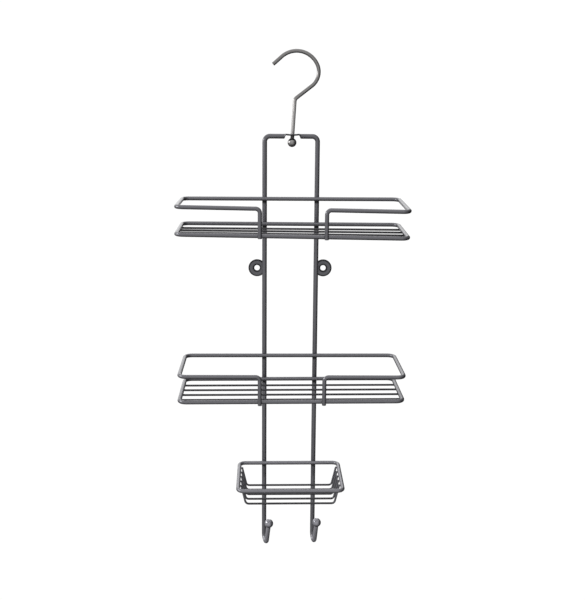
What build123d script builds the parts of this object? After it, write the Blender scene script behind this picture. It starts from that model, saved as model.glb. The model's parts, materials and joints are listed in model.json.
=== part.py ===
from build123d import *
from math import cos, radians, sin, tan
import os

# A hanging wire shower caddy.  Millimetres, +Z up, the front faces -Y and +X is to the
# right of someone who stands in front of it.  The origin is midway between the two wall
# screw holes, on the plane where the mounting rings meet the wall.

# ---- wire stock ----
frame_wire = 5.5
basket_wire = 4.6
floor_wire = 2.4
hook_wire = 4.3
weld_sink = 0.3  # how far two crossing wires sink into each other at a resistance weld

# ---- main frame: one wire bent into two uprights, a top bar and two lower hooks ----
upright_spacing = 60.0
top_bar_z = 152.3
frame_corner_radius = 6.0
lower_hook_radius = 8.0
lower_hook_lean = 21.9  # degrees that each arm leans away from its upright
lower_hook_arm = 28.3  # from the end of the bend to the centre of the tip ball
lower_ball_diameter = 10.6
left_hook_arc_z = -333.6  # height of the centre of the left hook's bend
left_hook_turn = 12.8  # degrees that the left hook is turned towards +X
right_hook_arc_z = -332.4
right_hook_turn = 8.2

# ---- pressed flat in the top bar, with the swivel hole in its middle ----
flat_shift = 1.5  # the flat's middle is this far to the right of the frame's
flat_length = 14.6
flat_thickness = 1.6
flat_depth = 12.0
crimp_length = 2.0
swivel_clearance = 0.08

# ---- swivel hook, drawn in its own plane with its stem upright, then leaned ----
hook_lean = 3.4
top_ball_diameter = 10.2
top_ball_drop = 7.0  # ball centre below the middle of the top bar
stem_length = 45.8  # from the ball's centre to the start of the bend
stem_bend_radius = 5.5
stem_bend = 49.1
neck_length = 21.4
near_radius = 19.2  # the loop is two arcs: this one goes up from the neck
near_arc = 79.3
far_radius = 25.4  # and this one goes over and down to the mouth
far_arc = 104.3
mouth_straight = 12.9

# ---- mounting rings ----
ring_spacing = 77.3
ring_diameter = 20.2
ring_thickness = 2.5
ring_edge_radius = 1.4
screw_hole_diameter = 6.4
countersink_diameter = 9.4

# ---- the two shelves, which are alike ----
shelf_width = 248.0  # between the centre lines of the side runs
shelf_depth = 85.1  # between the centre lines of the rim's rear and front runs
shelf_corner_radius = 8.0
rail_height = 29.3  # rail centre above rim centre
rail_zs = {"upper": 81.9, "lower": -104.1}
post_spacing = 70.8
post_bend_radius = 4.7
post_shift = 0.4  # both posts stand this far to the right
post_overhangs = {"upper": 2.4, "lower": 2.7}  # post ends below the rim's centre line
rail_left_inset = 0.8  # the rail's left side run is this far inside the rim's
shelf_wire_count = 4
shelf_wire_pitch = 17.4
first_shelf_wire = 15.3  # from the rear run to the first floor wire
wire_end_inset = 1.0  # floor wires stop this far inside the outer edge of the rim
# how far each loop's corners are bent up: rear left, rear right, front left, front right
rim_rises = {"upper": (0.8, 0.0, 0.6, -2.9), "lower": (0.0, 0.6, 0.0, 0.8)}
rail_rises = {"upper": (0.0, 0.0, 1.1, -2.9), "lower": (0.0, 0.0, 1.4, 0.5)}

# ---- soap dish ----
dish_width = 119.3
dish_depth = 82.3
dish_corner_radius = 7.0
dish_rim_z = -240.2
dish_drop = 22.3
dish_floor_width = 102.0  # between the corners of the bent wires, before rounding
dish_bend_radius = 4.0
dish_wire_count = 5
dish_wire_pitch = 12.9
dish_wire_stand = 0.8  # dish wires end this far above the rim's centre line

# ---- derived places ----
upright_y = -(ring_thickness + frame_wire / 2 - weld_sink)
rear_run_y = upright_y - (frame_wire + basket_wire) / 2 + weld_sink
rim_front_y = rear_run_y - shelf_depth
rail_front_y = rim_front_y - basket_wire + weld_sink
dish_front_y = rear_run_y - dish_depth
ball_z = top_bar_z - top_ball_drop
flat_mid_z = top_bar_z + (frame_wire - flat_thickness) / 2
under_rim = (basket_wire + floor_wire) / 2 - weld_sink
hook_foot_x = flat_shift - tan(radians(hook_lean)) * (flat_mid_z - ball_z)
hook_plane = Plane(
    origin=(hook_foot_x, upright_y, ball_z),
    x_dir=(cos(radians(hook_lean)), 0, -sin(radians(hook_lean))),
    z_dir=(0, -1, 0),
)
stem_dir = Vector(sin(radians(hook_lean)), 0, cos(radians(hook_lean)))

os.makedirs("parts", exist_ok=True)


def save(builder, name):
    """Label a finished piece and write it as its own STEP file."""
    builder.part.label = name
    export_step(builder.part, f"parts/{name}.step")


def start_plane(path):
    """The plane square to a path at its first point."""
    return Plane(origin=path @ 0, z_dir=path % 0)


def lower_hook_plane(side, turn, arc_z):
    """The upright plane of one lower hook: its bend's centre, x forwards and y upwards."""
    forwards = Vector(sin(radians(turn)), -cos(radians(turn)), 0)
    centre = Vector(side * upright_spacing / 2, upright_y, arc_z) + forwards * lower_hook_radius
    return Plane(centre, x_dir=forwards, z_dir=forwards.cross(Vector(0, 0, 1)))


def ahead(point, heading, length):
    """The point this far from another, heading this many degrees round from local x."""
    return (point[0] + length * cos(radians(heading)), point[1] + length * sin(radians(heading)))


def lifted(rises, x, y, z):
    """A point of a level shelf, moved up to where its bent corners take it."""
    across = x / shelf_width + 0.5
    forwards = (rear_run_y - y) / shelf_depth
    rear = rises[0] + (rises[1] - rises[0]) * across
    front = rises[2] + (rises[3] - rises[2]) * across
    return (x, y, z + rear + (front - rear) * forwards)


left_hook_plane = lower_hook_plane(-1, left_hook_turn, left_hook_arc_z)
right_hook_plane = lower_hook_plane(1, right_hook_turn, right_hook_arc_z)
bend_end = ahead((0, 0), -lower_hook_lean, lower_hook_radius)
bend_low = ahead((0, 0), -(lower_hook_lean + 180) / 2, lower_hook_radius)
ball_place = ahead(bend_end, 90 - lower_hook_lean, lower_hook_arm)

# ---- main frame ----
with BuildPart() as main_frame:
    for side, bend_plane in ((-1, left_hook_plane), (1, right_hook_plane)):
        foot = bend_plane.from_local_coords((-lower_hook_radius, 0, 0))
        head = Vector(foot.X, foot.Y, top_bar_z - frame_corner_radius)
        turned = Vector(foot.X - side * frame_corner_radius, foot.Y, top_bar_z)
        corner_sag = frame_corner_radius * (1 - cos(radians(45)))
        corner = Vector(foot.X - side * corner_sag, foot.Y, top_bar_z - corner_sag)
        crimp_x = flat_shift + side * (flat_length / 2 + crimp_length)
        tip = bend_plane.from_local_coords((*ball_place, 0))
        rising = bend_plane.from_local_coords((*bend_end, 0))
        with BuildLine() as half:
            Line(tip, rising)
            ThreePointArc(rising, bend_plane.from_local_coords((*bend_low, 0)), foot)
            Line(foot, head)
            ThreePointArc(head, corner, turned)
            Line(turned, (crimp_x, upright_y, top_bar_z))
        with BuildSketch(start_plane(half.line)):
            Circle(frame_wire / 2)
        sweep(path=half.line)
        with BuildSketch(Plane((crimp_x, upright_y, top_bar_z), z_dir=(side, 0, 0))):
            Circle(frame_wire / 2)
        flat_end_x = flat_shift + side * flat_length / 2
        flat_end = Plane(
            (flat_end_x, upright_y, flat_mid_z), x_dir=(0, 1, 0), z_dir=(side, 0, 0)
        )
        with BuildSketch(flat_end):
            SlotOverall(flat_depth, flat_thickness)
        loft()
    flat_plane = Plane(
        (flat_shift - flat_length / 2, upright_y, flat_mid_z), x_dir=(0, 1, 0), z_dir=(1, 0, 0)
    )
    with BuildSketch(flat_plane):
        SlotOverall(flat_depth, flat_thickness)
    extrude(amount=flat_length)
    with BuildSketch(Plane(origin=(hook_foot_x, upright_y, ball_z), z_dir=stem_dir)):
        Circle(hook_wire / 2 + swivel_clearance)
    extrude(amount=2 * top_ball_drop, mode=Mode.SUBTRACT)
save(main_frame, "main_frame")

# ---- tip balls of the lower hooks, bored for the wire ends ----
for name, bend_plane in (("left", left_hook_plane), ("right", right_hook_plane)):
    tip = bend_plane.from_local_coords((*ball_place, 0))
    along = ahead((0, 0), 90 - lower_hook_lean, 1)
    arm_dir = bend_plane.x_dir * along[0] + Vector(0, 0, 1) * along[1]
    with BuildPart() as hook_ball:
        with BuildSketch(Plane(tip, x_dir=arm_dir.cross(bend_plane.z_dir), z_dir=bend_plane.z_dir)):
            with BuildLine():
                CenterArc((0, 0), lower_ball_diameter / 2, -90, 180)
                Line((0, lower_ball_diameter / 2), (0, -lower_ball_diameter / 2))
            make_face()
        revolve(axis=Axis(tip, arm_dir))
        with BuildSketch(Plane(tip, z_dir=-arm_dir)):
            Circle(frame_wire / 2)
        extrude(amount=lower_ball_diameter, mode=Mode.SUBTRACT)
    save(hook_ball, f"{name}_hook_ball")

# ---- swivel hook ----
bend_centre = (stem_bend_radius, stem_length)
neck_heading = 90 - stem_bend
neck_start = ahead(bend_centre, neck_heading + 90, stem_bend_radius)
neck_end = ahead(neck_start, neck_heading, neck_length)
near_centre = ahead(neck_end, neck_heading + 90, near_radius)
far_heading = neck_heading + near_arc
far_start = ahead(near_centre, far_heading - 90, near_radius)
far_centre = ahead(far_start, far_heading + 90, far_radius)
mouth_heading = far_heading + far_arc
mouth_start = ahead(far_centre, mouth_heading - 90, far_radius)
with BuildPart() as top_hook:
    with BuildLine(hook_plane) as hook_path:
        Line((0, 0), (0, stem_length))
        CenterArc(bend_centre, stem_bend_radius, 180, -stem_bend)
        Line(neck_start, neck_end)
        CenterArc(near_centre, near_radius, neck_heading - 90, near_arc)
        CenterArc(far_centre, far_radius, far_heading - 90, far_arc)
        Line(mouth_start, ahead(mouth_start, mouth_heading, mouth_straight))
    with BuildSketch(start_plane(hook_path.wire())):
        Circle(hook_wire / 2)
    sweep(path=hook_path.wire())
save(top_hook, "top_hook")

with BuildPart() as top_hook_ball:
    with BuildSketch(hook_plane):
        with BuildLine():
            CenterArc((0, 0), top_ball_diameter / 2, -90, 180)
            Line((0, top_ball_diameter / 2), (0, -top_ball_diameter / 2))
        make_face()
    revolve(axis=Axis(hook_plane.origin, stem_dir))
    with BuildSketch(Plane(hook_plane.origin, z_dir=stem_dir)):
        Circle(hook_wire / 2)
    extrude(amount=top_ball_diameter, mode=Mode.SUBTRACT)
save(top_hook_ball, "top_hook_ball")

# ---- mounting rings ----
for side, name in ((-1, "left"), (1, "right")):
    ring_x = side * ring_spacing / 2
    with BuildPart() as ring:
        with BuildSketch(Plane((ring_x, 0, 0), x_dir=(1, 0, 0), z_dir=(0, -1, 0))):
            Circle(ring_diameter / 2)
        extrude(amount=ring_thickness)
        front = ring.faces().sort_by(Axis.Y)[0]
        fillet(front.edges(), radius=ring_edge_radius)
        with Locations(Plane((ring_x, -ring_thickness, 0), x_dir=(1, 0, 0), z_dir=(0, -1, 0))):
            CounterSinkHole(screw_hole_diameter / 2, countersink_diameter / 2)
    save(ring, f"{name}_mounting_ring")

# ---- shelves ----
half_width = shelf_width / 2
for level, rail_z in rail_zs.items():
    rim_z = rail_z - rail_height
    rises = rim_rises[level]
    with BuildPart() as rim:
        for corner_x in (-half_width, half_width):
            with BuildLine() as rim_path:
                FilletPolyline(
                    lifted(rises, 0, rear_run_y, rim_z),
                    lifted(rises, corner_x, rear_run_y, rim_z),
                    lifted(rises, corner_x, rim_front_y, rim_z),
                    lifted(rises, 0, rim_front_y, rim_z),
                    radius=shelf_corner_radius,
                )
            with BuildSketch(start_plane(rim_path.wire())):
                Circle(basket_wire / 2)
            sweep(path=rim_path.wire())
    save(rim, f"{level}_shelf_rim")

    wire_half = half_width + basket_wire / 2 - wire_end_inset
    wire_z = rim_z - under_rim
    for number in range(1, shelf_wire_count + 1):
        wire_y = rear_run_y - first_shelf_wire - (number - 1) * shelf_wire_pitch
        with BuildPart() as wire:
            with BuildLine() as wire_path:
                Line(
                    lifted(rises, -wire_half, wire_y, wire_z),
                    lifted(rises, wire_half, wire_y, wire_z),
                )
            with BuildSketch(start_plane(wire_path.wire())):
                Circle(floor_wire / 2)
            sweep(path=wire_path.wire())
        save(wire, f"{level}_shelf_wire_{number}")

    left_post = post_shift - post_spacing / 2
    right_post = post_shift + post_spacing / 2
    left_side = rail_left_inset - half_width
    left_end = lifted(rises, left_post, rim_front_y, rim_z - post_overhangs[level])
    right_end = lifted(rises, right_post, rim_front_y, rim_z - post_overhangs[level])
    rises = rail_rises[level]
    corner_radii = [post_bend_radius] + 4 * [shelf_corner_radius] + [post_bend_radius]
    with BuildPart() as rail:
        with BuildLine() as rail_path:
            FilletPolyline(
                (left_post, rail_front_y, left_end[2]),
                lifted(rises, left_post, rail_front_y, rail_z),
                lifted(rises, left_side, rail_front_y, rail_z),
                lifted(rises, left_side, rear_run_y, rail_z),
                lifted(rises, half_width, rear_run_y, rail_z),
                lifted(rises, half_width, rail_front_y, rail_z),
                lifted(rises, right_post, rail_front_y, rail_z),
                (right_post, rail_front_y, right_end[2]),
                radius=corner_radii,
            )
        with BuildSketch(start_plane(rail_path.wire())):
            Circle(basket_wire / 2)
        sweep(path=rail_path.wire())
    save(rail, f"{level}_shelf_rail")

# ---- soap dish ----
dish_half = dish_width / 2
with BuildPart() as dish_rim:
    with BuildLine(Plane.XY.offset(dish_rim_z)) as dish_path:
        FilletPolyline(
            (-dish_half, rear_run_y),
            (dish_half, rear_run_y),
            (dish_half, dish_front_y),
            (-dish_half, dish_front_y),
            radius=dish_corner_radius,
            close=True,
        )
    with BuildSketch(start_plane(dish_path.wire())):
        Circle(basket_wire / 2)
    sweep(path=dish_path.wire())
save(dish_rim, "soap_dish_rim")

dish_wire_top = dish_half - (basket_wire + floor_wire) / 2 + weld_sink
dish_floor_half = dish_floor_width / 2
first_wire_y = rear_run_y - (dish_depth - (dish_wire_count - 1) * dish_wire_pitch) / 2
for number in range(1, dish_wire_count + 1):
    wire_y = first_wire_y - (number - 1) * dish_wire_pitch
    with BuildPart() as dish_wire:
        with BuildLine(Plane.XZ.offset(-wire_y)) as bent:
            FilletPolyline(
                (-dish_wire_top, dish_rim_z + dish_wire_stand),
                (-dish_floor_half, dish_rim_z - dish_drop),
                (dish_floor_half, dish_rim_z - dish_drop),
                (dish_wire_top, dish_rim_z + dish_wire_stand),
                radius=dish_bend_radius,
            )
        with BuildSketch(start_plane(bent.wire())):
            Circle(floor_wire / 2)
        sweep(path=bent.wire())
    save(dish_wire, f"soap_dish_wire_{number}")
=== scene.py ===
import json
from math import cos, pi, radians, sin, tau
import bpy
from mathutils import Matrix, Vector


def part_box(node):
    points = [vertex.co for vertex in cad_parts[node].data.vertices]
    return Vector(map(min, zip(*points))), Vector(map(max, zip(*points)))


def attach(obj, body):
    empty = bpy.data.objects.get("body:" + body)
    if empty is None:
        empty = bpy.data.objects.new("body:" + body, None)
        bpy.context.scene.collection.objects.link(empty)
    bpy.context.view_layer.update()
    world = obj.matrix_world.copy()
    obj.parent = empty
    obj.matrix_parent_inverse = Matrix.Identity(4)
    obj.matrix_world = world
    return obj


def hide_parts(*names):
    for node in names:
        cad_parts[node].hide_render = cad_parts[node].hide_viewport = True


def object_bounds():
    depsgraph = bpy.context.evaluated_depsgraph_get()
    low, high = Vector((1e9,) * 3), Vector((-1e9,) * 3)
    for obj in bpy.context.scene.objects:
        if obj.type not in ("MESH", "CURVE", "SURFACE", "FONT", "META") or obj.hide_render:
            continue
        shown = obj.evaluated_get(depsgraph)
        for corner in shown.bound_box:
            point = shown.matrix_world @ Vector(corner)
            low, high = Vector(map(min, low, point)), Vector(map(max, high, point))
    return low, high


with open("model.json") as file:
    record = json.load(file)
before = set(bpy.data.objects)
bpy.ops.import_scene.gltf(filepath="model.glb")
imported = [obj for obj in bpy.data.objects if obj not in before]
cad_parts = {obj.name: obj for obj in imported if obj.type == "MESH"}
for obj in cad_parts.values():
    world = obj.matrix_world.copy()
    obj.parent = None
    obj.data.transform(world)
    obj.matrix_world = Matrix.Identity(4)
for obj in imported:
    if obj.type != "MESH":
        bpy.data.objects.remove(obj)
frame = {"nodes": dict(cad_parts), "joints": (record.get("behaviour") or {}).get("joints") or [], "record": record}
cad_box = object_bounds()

from types import SimpleNamespace

import bmesh
import bpy
from bpy.props import (
    FloatProperty,
    FloatVectorProperty,
    IntProperty,
    PointerProperty,
)
from mathutils import Matrix, Vector

bl_info = {
    "name": "Wire Shower Caddy",
    "version": (1, 0, 0),
    "blender": (4, 5, 0),
    "location": "View3D > Sidebar > Caddy",
    "description": "Builds a hanging wire shower caddy around its packed frame",
    "category": "Add Mesh",
}

MM = 0.001
RACK = "caddy_frame"
HOOK = "swivel_hook"
LEVELS = ("upper", "lower")
SIDES = ((-1, "left"), (1, "right"))


# ---------------------------------------------------------------- what the frame says

def middle(node):
    """Lowest corner, highest corner and centre of a CAD node."""
    low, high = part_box(node)
    return low, high, (low + high) / 2


def rim_run(node):
    """Centre lines of a closed wire loop that lies flat."""
    low, high, centre = middle(node)
    radius = (high.z - low.z) / 2
    return SimpleNamespace(
        radius=radius, half=high.x - radius, rear=high.y - radius, front=low.y + radius, z=centre.z
    )


SWIVEL = frame["joints"][0]
SWIVEL_FOOT = Vector(SWIVEL["pos_m"])
SWIVEL_AXIS = Vector(SWIVEL["axis"]).normalized()
BASKET_WIRE = 2 * rim_run("soap_dish_rim").radius
FLOOR_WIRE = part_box("lower_shelf_wire_1")[1].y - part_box("lower_shelf_wire_1")[0].y
HOOK_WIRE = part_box("top_hook")[1].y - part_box("top_hook")[0].y
BOLTS = next(m for m in frame["record"]["mounts"] if m["name"] == "wall_screw_holes")


# ---------------------------------------------------------------- settings

def length(name, text, default):
    """A size that a user may change, in metres."""
    return FloatProperty(
        name=name, description=text, default=default, min=0.0, unit="LENGTH", precision=5
    )


def twist(name, text, default):
    """A height that may also be below zero, in metres."""
    return FloatProperty(name=name, description=text, default=default, unit="LENGTH", precision=5)


def rises(name, default):
    """How far a loop's four corners are bent up, given here in millimetres."""
    text = "Heights of the corners: rear left, rear right, front left, front right"
    return FloatVectorProperty(
        name=name, description=text, size=4, unit="LENGTH", default=[v * MM for v in default]
    )


def share(name, text, default):
    """A plain number from 0 to 1."""
    return FloatProperty(name=name, description=text, default=default, min=0.0, max=1.0)


def count(name, text, default, least):
    """A whole number."""
    return IntProperty(name=name, description=text, default=default, min=least)


def turn(name, text, default):
    """An angle, given here in degrees."""
    return FloatProperty(name=name, description=text, default=radians(default), unit="ROTATION")


def colour(name, text, default):
    """A linear colour."""
    return FloatVectorProperty(
        name=name, description=text, default=default, size=3, min=0.0, max=1.0, subtype="COLOR"
    )


class CaddySizes(bpy.types.PropertyGroup):
    frame_wire: length("Frame wire", "Diameter of the wire of the uprights", 5.5 * MM)
    basket_wire: length("Basket wire", "Diameter of the rims and rails", BASKET_WIRE)
    floor_wire: length("Floor wire", "Diameter of the thin floor wires", FLOOR_WIRE)
    hook_wire: length("Hook wire", "Diameter of the swivel hook", HOOK_WIRE)
    end_round: length("End rounding", "Rounding of the cut wire ends under the coat", 0.4 * MM)
    weld_sink: length("Weld sink", "How far crossing wires sink into each other", 0.3 * MM)
    frame_corner: length("Frame corner", "Bend radius at the top of the uprights", 6 * MM)
    foot_bend: length("Lower hook bend", "Bend radius of the lower hooks", 8 * MM)
    foot_lean: turn("Lower hook lean", "Lean of the lower hooks' arms away from the uprights", 21.9)
    foot_arm: length("Lower hook arm", "Straight arm of a lower hook, to its ball", 28.3 * MM)
    left_turn: turn("Left hook turn", "Turn of the left lower hook to the right", 12.8)
    right_turn: turn("Right hook turn", "Turn of the right lower hook to the right", 8.2)
    right_foot_rise: length("Right hook rise", "Right lower hook over the left one", 1.2 * MM)
    shelf_corner: length("Shelf corner", "Bend radius of the shelf rims and rails", 8 * MM)
    dish_corner: length("Dish corner", "Bend radius of the dish rim", 7 * MM)
    post_spacing: length("Post spacing", "Distance between the two front posts", 70.8 * MM)
    post_bend: length("Post bend", "Bend radius from rail to post", 4.7 * MM)
    rail_height: length("Rail height", "Rails over their rims", 29.3 * MM)
    shelf_pitch: length("Shelf pitch", "Height from the lower shelf to the upper one", 186 * MM)
    post_shift: twist("Post shift", "How far the front posts stand to the right", 0.4 * MM)
    rail_inset: length("Rail inset", "Rails' left side run inside their rims'", 0.8 * MM)
    upper_rim_rises: rises("Upper rim rises", (0.8, 0.0, 0.6, -2.9))
    lower_rim_rises: rises("Lower rim rises", (0.0, 0.6, 0.0, 0.8))
    upper_rail_rises: rises("Upper rail rises", (0.0, 0.0, 1.1, -2.9))
    lower_rail_rises: rises("Lower rail rises", (0.0, 0.0, 1.4, 0.5))
    upper_overhang: length("Upper post end", "Upper posts' ends under their rim's middle", 2.4 * MM)
    lower_overhang: length("Lower post end", "Lower posts' ends under their rim's middle", 2.7 * MM)
    dish_floor: length("Dish floor", "Width of the dish's floor between its bends", 102 * MM)
    dish_bend: length("Dish bend", "Bend radius of the dish's wires", 4 * MM)
    dish_stand: length("Dish wire stand", "Height of the dish wires' ends over the rim", 0.8 * MM)
    flat_shift: twist("Flat shift", "Flat's middle to the right of the frame's", 1.5 * MM)
    flat_length: length("Flat length", "Length of the pressed flat", 14.6 * MM)
    flat_width: length("Flat width", "Width of the pressed flat, front to back", 12 * MM)
    flat_thickness: length("Flat thickness", "Thickness of the pressed flat", 1.6 * MM)
    flat_dish: length("Flat dish", "Sag of the pressed flat at its hole", 0.5 * MM)
    crimp: length("Crimp", "Length of the slope from round wire to flat", 2.2 * MM)
    swivel_hole: length("Swivel hole", "Radius of the hole for the stem", 2.23 * MM)
    stem_length: length("Stem", "Straight stem, from the ball's middle", 45.8 * MM)
    stem_bend: length("Stem bend", "Bend radius between stem and neck", 5.5 * MM)
    stem_turn: turn("Stem turn", "Turn from stem to neck", 49.1)
    neck_length: length("Neck", "Straight neck below the loop", 21.4 * MM)
    near_radius: length("Near radius", "Bend radius of the loop's side above the neck", 19.2 * MM)
    near_arc: turn("Near arc", "Turn of the loop's side above the neck", 79.3)
    far_radius: length("Far radius", "Bend radius of the loop's top and mouth side", 25.4 * MM)
    far_arc: turn("Far arc", "Turn of the loop's top and mouth side", 104.3)
    mouth_run: length("Mouth run", "Straight run at the hook's tip", 12.9 * MM)
    ring_edge: length("Ring edge", "Rounding of a mounting ring's front edge", 1.4 * MM)
    countersink: length("Countersink", "Diameter of the countersink", 9.4 * MM)
    wire_sides: count("Wire sides", "Faces round a thick wire", 28, 8)
    thin_sides: count("Thin sides", "Faces round a thin wire", 18, 6)
    bend_steps: count("Bend steps", "Points along a bend", 12, 3)


class CaddyFinish(bpy.types.PropertyGroup):
    coat: colour("Coat", "Metallic grey coat", (0.147, 0.146, 0.161))
    coat_deep: colour("Coat in the shade", "Coat where it is thin", (0.118, 0.117, 0.127))
    thin_coat: colour("Thin wire coat", "Coat of the floor wires", (0.058, 0.057, 0.062))
    plate: colour("Plate", "Plating of the swivel hook", (0.355, 0.347, 0.343))
    plate_deep: colour("Plate in the scratches", "Plating in its draw lines", (0.250, 0.243, 0.240))
    coat_roughness: share("Coat roughness", "Roughness of the grey coat", 0.30)
    plate_roughness: share("Plate roughness", "Roughness of the plating", 0.27)


class CaddyStage(bpy.types.PropertyGroup):
    floor_drop: length("Floor drop", "Floor below the lowest point", 0.45)
    lens: FloatProperty(
        name="Lens", description="Focal length in millimetres", default=55.8625, min=1.0
    )
    camera_place: FloatVectorProperty(
        name="Camera place", description="Camera in the frame's axes", size=3, unit="LENGTH",
        default=(-0.030697, -1.073737, 0.203364),
    )
    camera_yaw: turn("Camera yaw", "Turn of the camera to the right", 1.80798)
    camera_pitch: turn("Camera pitch", "Tilt of the camera, down is negative", -12.70840)
    camera_roll: turn("Camera roll", "Roll of the camera", 0.48039)
    key_power: FloatProperty(name="Key light", description="Power in watts", default=5.0, min=0.0)


# ---------------------------------------------------------------- node trees

def adds_math(operation, swapped=False):
    """A method that adds a Math node; swapped puts the port's own value last."""
    def method(self, *others):
        values = (*others, self) if swapped else (self, *others)
        return self.net.add("ShaderNodeMath", {"operation": operation}, dict(enumerate(values)))
    return method


class Port:
    """An output socket. Arithmetic on it adds Math nodes to its tree."""

    def __init__(self, net, socket):
        self.net = net
        self.socket = socket

    def out(self, key):
        """Another output of the same node."""
        return Port(self.net, find_socket(self.socket.node.outputs, key))

    __add__ = adds_math("ADD")
    __radd__ = adds_math("ADD", swapped=True)
    __sub__ = adds_math("SUBTRACT")
    __rsub__ = adds_math("SUBTRACT", swapped=True)
    __mul__ = adds_math("MULTIPLY")
    __rmul__ = adds_math("MULTIPLY", swapped=True)
    __truediv__ = adds_math("DIVIDE")
    __pow__ = adds_math("POWER")
    __abs__ = adds_math("ABSOLUTE")
    at_least = adds_math("MAXIMUM")
    at_most = adds_math("MINIMUM")


def find_socket(sockets, key):
    """A socket by its number, identifier or name."""
    if isinstance(key, int):
        return sockets[key]
    return next(s for s in sockets if key in (s.identifier, s.name))


class Net:
    """A node tree being built."""

    def __init__(self, tree):
        self.tree = tree

    def feed(self, socket, value):
        """Give an input socket a value or a link."""
        if isinstance(value, Port):
            self.tree.links.new(value.socket, socket)
        else:
            socket.default_value = value

    def add(self, kind, settings=None, sockets=None):
        """A node of a type, its settings made first, then its sockets' values or links."""
        node = self.tree.nodes.new(kind)
        for key, value in (settings or {}).items():
            setattr(node, key, value)
        for key, value in (sockets or {}).items():
            self.feed(find_socket(node.inputs, key), value)
        return Port(self, next(iter(node.outputs))) if node.outputs else node

    def vector(self, operation, first, second):
        """A Vector Math node; a number as second scales the vector."""
        key = "Scale" if operation == "SCALE" else 1
        return self.add("ShaderNodeVectorMath", {"operation": operation}, {0: first, key: second})

    def blend(self, factor, first, second):
        """A colour between two colours."""
        mixed = self.add(
            "ShaderNodeMix", {"data_type": "RGBA"},
            {"Factor_Float": factor, "A_Color": first, "B_Color": second},
        )
        return mixed.out("Result_Color")

    def noise(self, place, scale, detail=2.0, roughness=0.5):
        """Noise from 0 to 1 at a place."""
        return self.add(
            "ShaderNodeTexNoise", {},
            {"Vector": place, "Scale": scale, "Detail": detail, "Roughness": roughness},
        )

    def ramp(self, value, low, high):
        """A smooth step from 0 at low to 1 at high."""
        return self.add(
            "ShaderNodeMapRange", {"interpolation_type": "SMOOTHSTEP"},
            {"Value": value, "From Min": low, "From Max": high},
        )


def tinted(rgb, amount=1.0):
    """A colour with its alpha, made darker or lighter."""
    return (*(amount * c for c in rgb), 1.0)


# ---------------------------------------------------------------- geometry trees

def new_geometry_tree(name, inputs):
    """A Geometry Nodes tree with named inputs; returns its net and its input node."""
    tree = bpy.data.node_groups.new(name, "GeometryNodeTree")
    tree.interface.new_socket("Geometry", in_out="INPUT", socket_type="NodeSocketGeometry")
    for label, kind, default in inputs:
        socket = tree.interface.new_socket(label, in_out="INPUT", socket_type=kind)
        if default is not None:
            socket.default_value = default
    tree.interface.new_socket("Geometry", in_out="OUTPUT", socket_type="NodeSocketGeometry")
    net = Net(tree)
    return net, net.add("NodeGroupInput")


def kept_value(net, kind, name):
    """A value that each point carries under a name."""
    return net.add("GeometryNodeInputNamedAttribute", {"data_type": kind}, {"Name": name})


def keep_value(net, kind, geometry, name, value):
    """The geometry, each of whose points carries a value under a name."""
    return net.add(
        "GeometryNodeStoreNamedAttribute", {"data_type": kind, "domain": "POINT"},
        {"Geometry": geometry, "Name": name, "Value": value},
    )


WIRE_INPUTS = [
    ("Wire Radius", "NodeSocketFloat", 2 * MM),
    ("Sides", "NodeSocketInt", 24),
    ("Bend Steps", "NodeSocketInt", 12),
    ("Material", "NodeSocketMaterial", None),
]


def sweep_wire(net, given):
    """Bend the given path at its corners and sweep a round wire along it."""
    path = net.add("GeometryNodeMeshToCurve", {}, {"Mesh": given.out("Geometry")})
    bend = kept_value(net, "FLOAT", "bend")
    bent = net.add(
        "GeometryNodeFilletCurve", {"mode": "POLY"},
        {"Curve": path, "Count": given.out("Bend Steps"), "Radius": bend, "Limit Radius": True},
    )
    run = net.add("GeometryNodeSplineParameter").out("Length")
    bent = keep_value(net, "FLOAT", bent, "wire_run", run)
    section = net.add(
        "GeometryNodeCurvePrimitiveCircle", {"mode": "RADIUS"},
        {"Resolution": given.out("Sides"), "Radius": given.out("Wire Radius")},
    )
    side = net.add("GeometryNodeInputPosition")
    section = keep_value(net, "FLOAT_VECTOR", section, "wire_side", side)
    return net.add(
        "GeometryNodeCurveToMesh", {},
        {"Curve": bent, "Profile Curve": section, "Fill Caps": True},
    )


def turned_to(net, direction):
    """The rotation that turns the Z axis to a direction."""
    return net.add("FunctionNodeAlignRotationToVector", {"axis": "Z"}, {"Vector": direction})


def finish_tree(net, given, geometry):
    """End a tree in smooth shading, Realize Instances and Set Material."""
    smooth = net.add("GeometryNodeSetShadeSmooth", {}, {"Geometry": geometry})
    real = net.add("GeometryNodeRealizeInstances", {}, {"Geometry": smooth})
    shown = net.add(
        "GeometryNodeSetMaterial", {}, {"Geometry": real, "Material": given.out("Material")}
    )
    net.add("NodeGroupOutput", {}, {"Geometry": shown})
    return net.tree


def bent_wire_tree():
    """One wire along a path."""
    net, given = new_geometry_tree("Bent wire", WIRE_INPUTS)
    return finish_tree(net, given, sweep_wire(net, given))


def repeated_wire_tree():
    """One wire along a path, repeated at a pitch."""
    extra = [("Count", "NodeSocketInt", 4), ("Pitch", "NodeSocketVector", (0.0, -17 * MM, 0.0))]
    net, given = new_geometry_tree("Repeated wires", WIRE_INPUTS + extra)
    row = net.add(
        "GeometryNodeMeshLine", {"mode": "OFFSET"},
        {"Count": given.out("Count"), "Offset": given.out("Pitch")},
    )
    wires = net.add(
        "GeometryNodeInstanceOnPoints", {}, {"Points": row, "Instance": sweep_wire(net, given)}
    )
    return finish_tree(net, given, wires)


FLAT_FLANK = 0.62  # how steeply the flat's long edges are still rounded, 1 as on the wire
DRILL_SIDES = 48


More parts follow.
